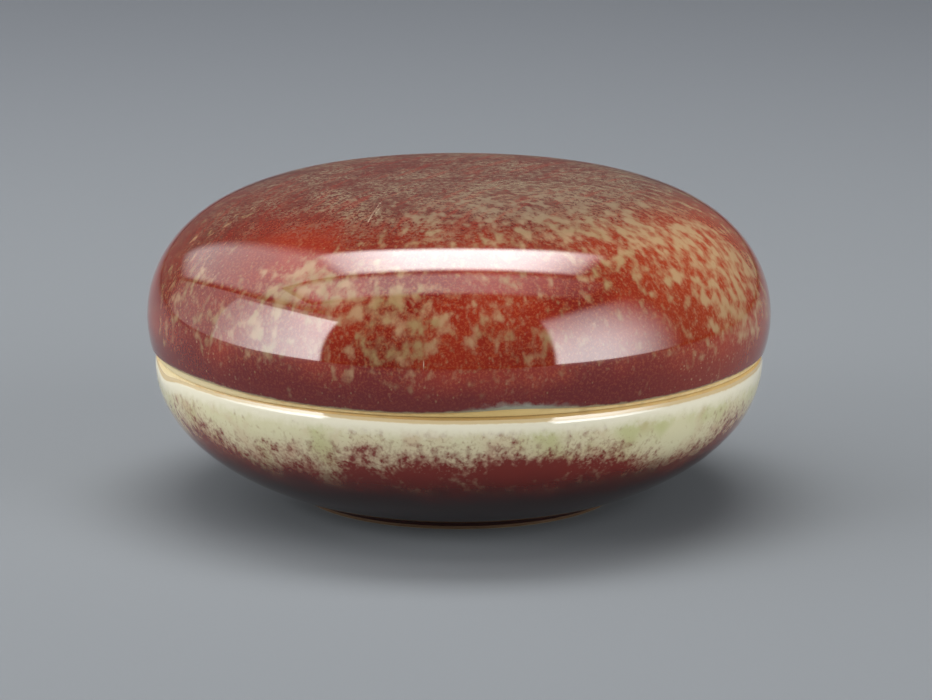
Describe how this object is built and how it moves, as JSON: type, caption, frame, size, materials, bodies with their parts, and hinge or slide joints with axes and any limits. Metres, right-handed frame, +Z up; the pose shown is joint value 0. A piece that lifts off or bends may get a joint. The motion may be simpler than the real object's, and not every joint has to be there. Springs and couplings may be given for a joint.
{
  "type": "seal paste box",
  "caption": "Round glazed porcelain box for seal paste: a domed lift-off lid drops over the flange of a footed bowl that holds the paste.",
  "frame": {"origin": "centre of the foot ring's resting face", "axes": "+Z up along the axis of the turned shape; the picture looks roughly along +Y from a little above"},
  "size_m": [0.072, 0.072, 0.0373],
  "materials": {
    "bowl_glaze": "glossy cream-green glaze breaking to copper red low on the side; foot ring, ledge and flange left as bare buff porcelain",
    "lid_glaze": "glossy copper-red glaze mottled with greenish beige; glazed white inside, with the rim and bore left bare",
    "seal_paste": "dense oily vermilion paste with fine fibres"
  },
  "bodies": {
    "base": {"base": "bowl_glaze", "seal_paste": "seal_paste"},
    "lid": {"lid": "lid_glaze"}
  },
  "joints": [
    {"name": "lid_lift", "type": "slide", "parent": "base", "child": "lid", "axis": [0, 0, 1], "range_m": [0, 0.045]}
  ]
}
